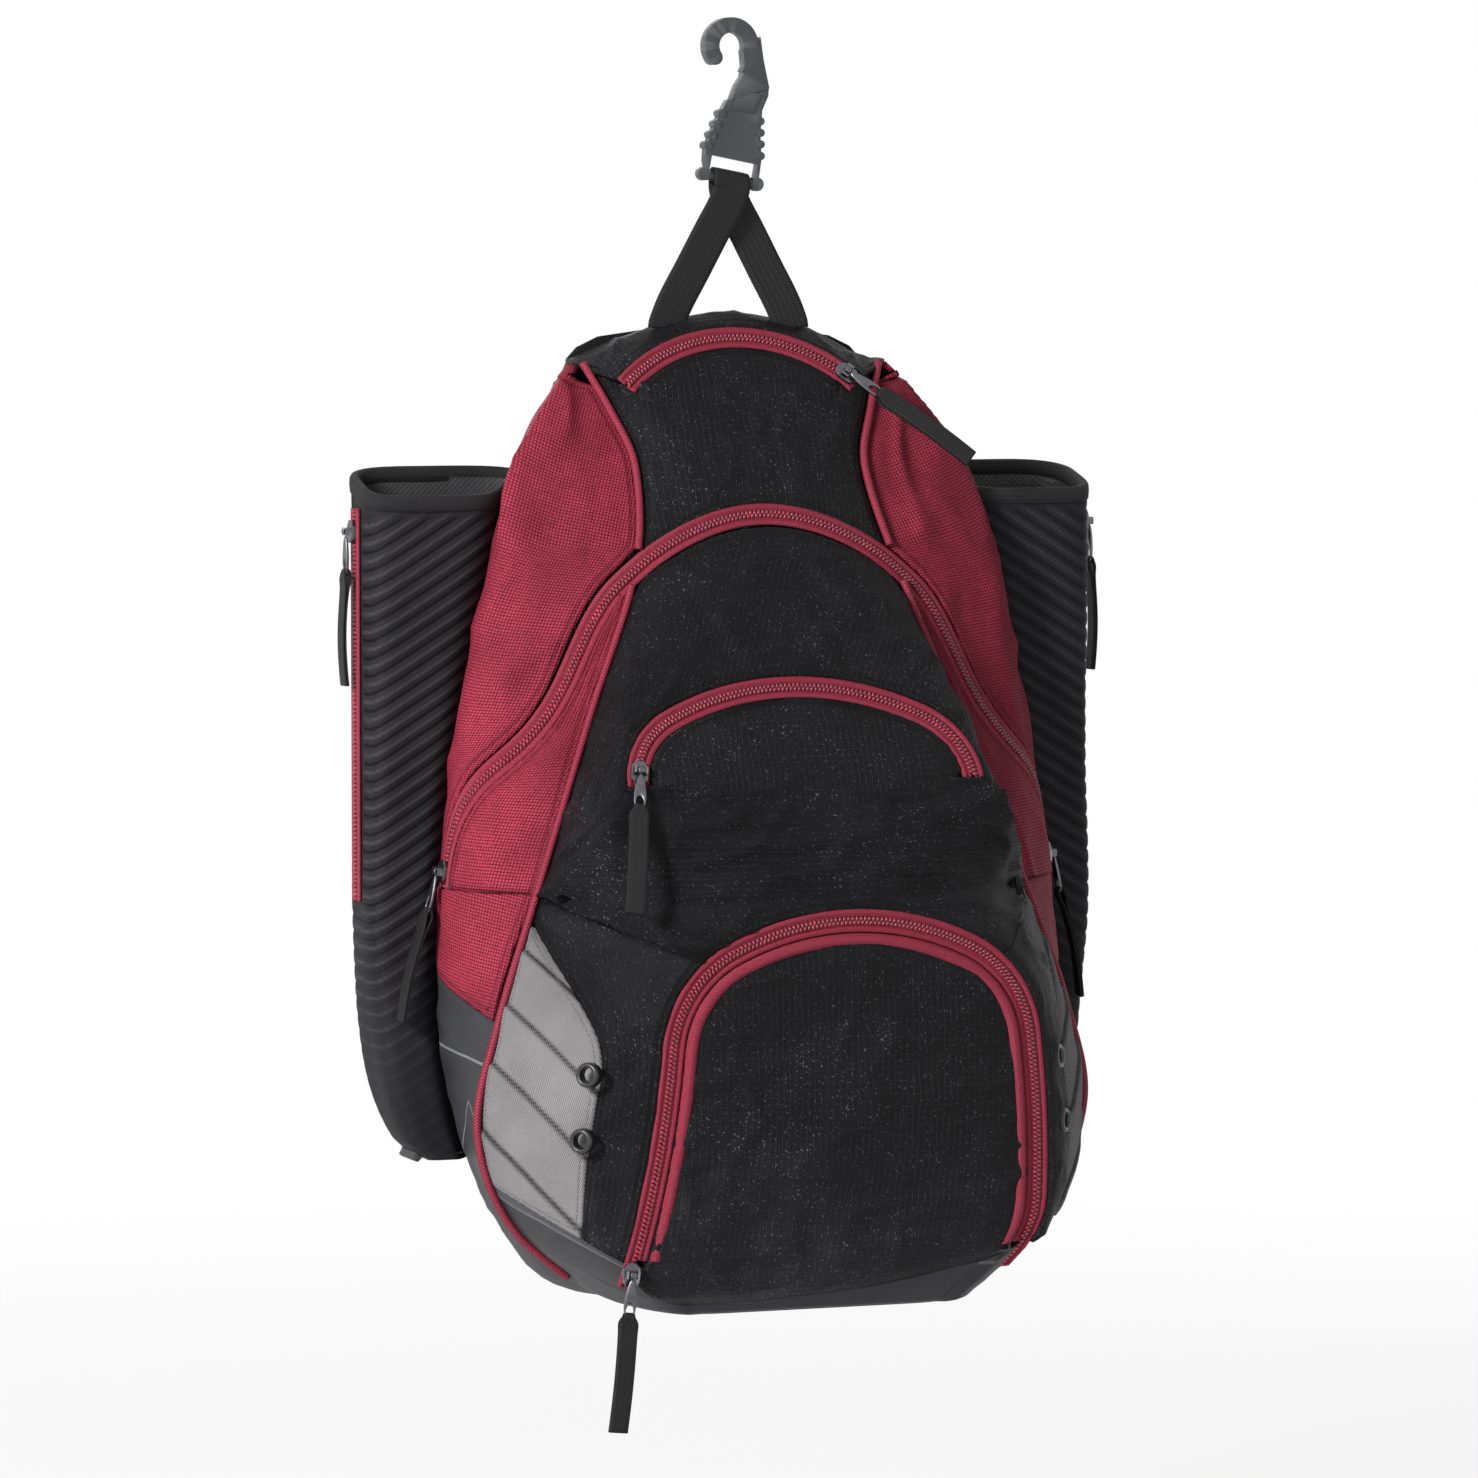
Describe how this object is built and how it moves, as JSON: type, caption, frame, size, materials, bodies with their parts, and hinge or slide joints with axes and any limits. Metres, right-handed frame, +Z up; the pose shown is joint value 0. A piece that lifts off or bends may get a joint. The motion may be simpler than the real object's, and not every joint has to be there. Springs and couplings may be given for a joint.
{
  "type": "hanging sports backpack with side bat sleeves",
  "caption": "Sports backpack hung by its own fence hook, with a zipped main flap, domed pockets, side bat sleeves, straps and a coated base",
  "frame": {"origin": "centre of the fence hook's round seat", "axes": "+X to the right of the bag seen from its front, +Y from its front to its back panel, +Z up"},
  "size_m": [0.4252, 0.2409, 0.7247],
  "materials": {
    "hook_plastic": "moulded black plastic, fine sparkle grain",
    "black_webbing": "ribbed polyester webbing",
    "black_cloth": "plain black polyester",
    "frame_plastic": "stiff flat sheet",
    "black_mesh": "padded spacer mesh",
    "maroon_cloth": "coarse ballistic weave",
    "black_ripstop": "black cloth with a fine raised grid and small bright specks",
    "maroon_piping": "textured cord piping",
    "maroon_zip": "coil zip on a twill tape",
    "black_lining": "light coated lining",
    "charcoal_tarpaulin": "semi-gloss coated tarpaulin",
    "grey_twill": "fine ribbed twill",
    "black_metal": "black lacquered eyelets",
    "black_neoprene": "smooth faced foam cloth with slanting grooves",
    "black_binding": "stitched binding tape",
    "gunmetal": "dark gunmetal plating",
    "pull_gunmetal_webbing": "dark gunmetal puller with a black webbing tab"
  },
  "bodies": {
    "fence_hook": {"fence_hook": "hook_plastic"},
    "bag": {"hanging_loop": "black_webbing", "back_panel": "black_cloth", "frame_sheet": "frame_plastic", "back_pads": "black_mesh", "gusset_left": "maroon_cloth", "gusset_right": "maroon_cloth", "top_cap": "black_cloth", "top_panel": "black_ripstop", "top_piping": "maroon_piping", "top_zip_outer": "maroon_zip", "top_pocket_lining": "black_lining", "main_zip_outer": "maroon_zip", "base_boot": "charcoal_tarpaulin", "lower_front_panel": "black_ripstop", "accent_left": "grey_twill", "accent_right": "grey_twill", "lower_piping": "maroon_piping", "vent_eyelets": "black_metal", "lower_pocket_bag": "black_lining", "lower_zip_outer": "maroon_zip", "bat_sleeve_left": "black_neoprene", "bat_sleeve_right": "black_neoprene", "sleeve_bindings": "black_binding", "sleeve_zips": "maroon_zip", "shoulder_strap_left": "black_mesh", "shoulder_strap_right": "black_mesh", "strap_webbing": "black_webbing", "ladder_buckles": "hook_plastic"},
    "main_flap": {"upper_front_panel": "black_ripstop", "wing_left": "maroon_cloth", "wing_right": "maroon_cloth", "main_zip_inner": "maroon_zip", "upper_piping": "maroon_piping", "upper_pocket_bag": "black_lining", "upper_zip_outer": "maroon_zip"},
    "top_flap": {"top_lip": "black_ripstop", "top_zip_inner": "maroon_zip"},
    "upper_flap": {"upper_pocket_lid": "black_ripstop", "upper_zip_inner": "maroon_zip"},
    "lower_flap": {"lower_pocket_lid": "black_ripstop", "lower_zip_inner": "maroon_zip"},
    "slider_main_left": {"slider_main_left": "gunmetal"},
    "pull_main_left": {"pull_main_left": "pull_gunmetal_webbing"},
    "slider_main_right": {"slider_main_right": "gunmetal"},
    "pull_main_right": {"pull_main_right": "pull_gunmetal_webbing"},
    "slider_top": {"slider_top": "gunmetal"},
    "pull_top": {"pull_top": "pull_gunmetal_webbing"},
    "slider_upper": {"slider_upper": "gunmetal"},
    "pull_upper": {"pull_upper": "pull_gunmetal_webbing"},
    "slider_lower": {"slider_lower": "gunmetal"},
    "pull_lower": {"pull_lower": "pull_gunmetal_webbing"},
    "slider_sleeve_left": {"slider_sleeve_left": "gunmetal"},
    "pull_sleeve_left": {"pull_sleeve_left": "pull_gunmetal_webbing"},
    "slider_sleeve_right": {"slider_sleeve_right": "gunmetal"},
    "pull_sleeve_right": {"pull_sleeve_right": "pull_gunmetal_webbing"}
  },
  "joints": [
    {"name": "hook_tilt", "type": "hinge", "parent": "fence_hook", "child": "bag", "pos_m": [0, 0, -0.07026], "axis": [0.9821, 0, -0.1886], "range_deg": [-30, 30]},
    {"name": "main_flap_hinge", "type": "hinge", "parent": "bag", "child": "main_flap", "pos_m": [0, -0.14826, -0.43987], "axis": [1, 0, 0], "range_deg": [0, 110]},
    {"name": "top_flap_hinge", "type": "hinge", "parent": "bag", "child": "top_flap", "pos_m": [0, -0.01981, -0.17826], "axis": [1, 0, 0], "range_deg": [0, 60]},
    {"name": "upper_flap_hinge", "type": "hinge", "parent": "main_flap", "child": "upper_flap", "pos_m": [0, -0.11968, -0.38166], "axis": [1, 0, 0], "range_deg": [0, 80]},
    {"name": "lower_flap_hinge", "type": "hinge", "parent": "bag", "child": "lower_flap", "pos_m": [0, -0.1557, -0.62181], "axis": [1, 0, 0], "range_deg": [0, 95]},
    {"name": "slider_main_right_travel", "type": "hinge", "parent": "bag", "child": "slider_main_right", "pos_m": [0.1052, -0.08772, -0.43806], "axis": [0.6704, -0.7411, -0.0361], "range_deg": [0, 11]},
    {"name": "slider_main_left_travel", "type": "hinge", "parent": "bag", "child": "slider_main_left", "pos_m": [-0.1052, -0.08772, -0.43806], "axis": [0.6704, 0.7411, 0.0361], "range_deg": [0, 11]},
    {"name": "slider_top_travel", "type": "hinge", "parent": "bag", "child": "slider_top", "pos_m": [0, -0.04737, -0.23438], "axis": [0, -0.8976, 0.4407], "range_deg": [0, 42]},
    {"name": "slider_upper_travel", "type": "hinge", "parent": "main_flap", "child": "slider_upper", "pos_m": [-0.0507, -0.12033, -0.38298], "axis": [0, 0.8976, -0.4407], "range_deg": [0, 45]},
    {"name": "slider_lower_travel", "type": "slide", "parent": "bag", "child": "slider_lower", "axis": [0.1045, 0, 0.9945], "range_m": [0, 0.1]},
    {"name": "slider_sleeve_left_travel", "type": "slide", "parent": "bag", "child": "slider_sleeve_left", "axis": [0, 0, -1], "range_m": [0, 0.18]},
    {"name": "slider_sleeve_right_travel", "type": "slide", "parent": "bag", "child": "slider_sleeve_right", "axis": [0, 0, -1], "range_m": [0, 0.18]},
    {"name": "pull_main_left_swing", "type": "hinge", "parent": "slider_main_left", "child": "pull_main_left", "pos_m": [-0.17361, -0.03089, -0.43052], "axis": [-0.0763, 0.9938, 0.0811], "range_deg": [0, 140]},
    {"name": "pull_main_right_swing", "type": "hinge", "parent": "slider_main_right", "child": "pull_main_right", "pos_m": [0.17361, -0.03089, -0.43052], "axis": [-0.0763, -0.9938, -0.0811], "range_deg": [0, 140]},
    {"name": "pull_top_swing", "type": "hinge", "parent": "slider_top", "child": "pull_top", "pos_m": [0.05905, -0.0212, -0.17156], "axis": [-0.6561, -0.3326, -0.6775], "range_deg": [0, 140]},
    {"name": "pull_upper_swing", "type": "hinge", "parent": "slider_upper", "child": "pull_upper", "pos_m": [-0.09185, -0.12039, -0.37358], "axis": [-0.9798, 0.0882, 0.1797], "range_deg": [0, 140]},
    {"name": "pull_lower_swing", "type": "hinge", "parent": "slider_lower", "child": "pull_lower", "pos_m": [-0.11031, -0.1599, -0.62885], "axis": [-0.9945, 0, 0.1045], "range_deg": [0, 140]},
    {"name": "pull_sleeve_left_swing", "type": "hinge", "parent": "slider_sleeve_left", "child": "pull_sleeve_left", "pos_m": [-0.2105, 0.0083, -0.25443], "axis": [0, 1, 0], "range_deg": [0, 140]},
    {"name": "pull_sleeve_right_swing", "type": "hinge", "parent": "slider_sleeve_right", "child": "pull_sleeve_right", "pos_m": [0.2105, 0.0083, -0.25443], "axis": [0, -1, 0], "range_deg": [0, 140]}
  ]
}
